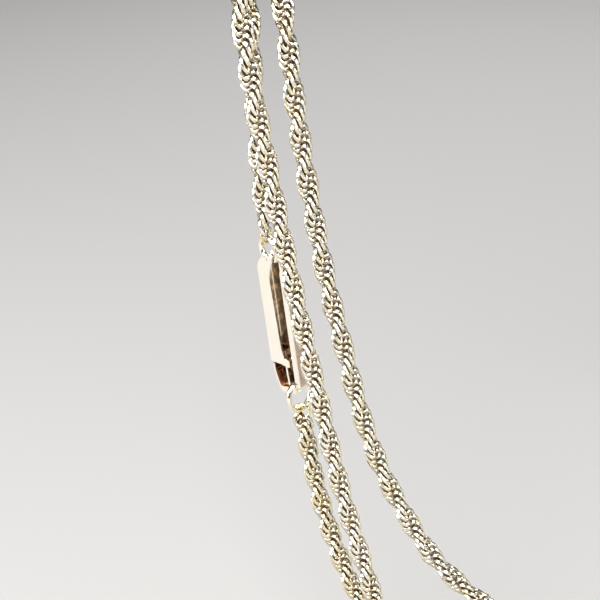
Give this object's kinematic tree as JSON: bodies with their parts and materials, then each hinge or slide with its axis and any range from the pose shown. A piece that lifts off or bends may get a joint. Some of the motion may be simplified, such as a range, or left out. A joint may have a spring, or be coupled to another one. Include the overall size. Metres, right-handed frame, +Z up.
{
  "type": "rope chain necklace",
  "caption": "Long twisted rope chain necklace, worn in several turns round the neck and closed by a slim long clasp whose side gate swings out.",
  "frame": {"origin": "where the chain rests on the back of the neck, in the middle", "axes": "+Z up as worn, -Y to the front of the wearer, +X to the side away from the clasp"},
  "size_m": [0.125, 0.1181, 0.1889],
  "materials": {
    "rope_gold": "polished, pale yellow gold tone",
    "ring_gold": "polished, pale yellow gold tone",
    "clasp_gold": "mirror polished, pale yellow gold tone"
  },
  "bodies": {
    "necklace": {"chain_lower": "rope_gold", "chain_short_turn": "rope_gold", "chain_long_turn": "rope_gold", "chain_upper": "rope_gold", "end_link_upper": "ring_gold", "end_link_lower": "ring_gold", "jump_ring_upper": "ring_gold", "jump_ring_lower": "ring_gold", "clasp_frame": "clasp_gold", "gate_pin": "clasp_gold"},
    "gate": {"clasp_gate": "clasp_gold"}
  },
  "joints": [
    {"name": "gate_hinge", "type": "hinge", "parent": "necklace", "child": "gate", "pos_m": [-0.05525, -0.09395, -0.06582], "axis": [0.6504, 0.7547, 0.0856], "range_deg": [0, 40]}
  ]
}
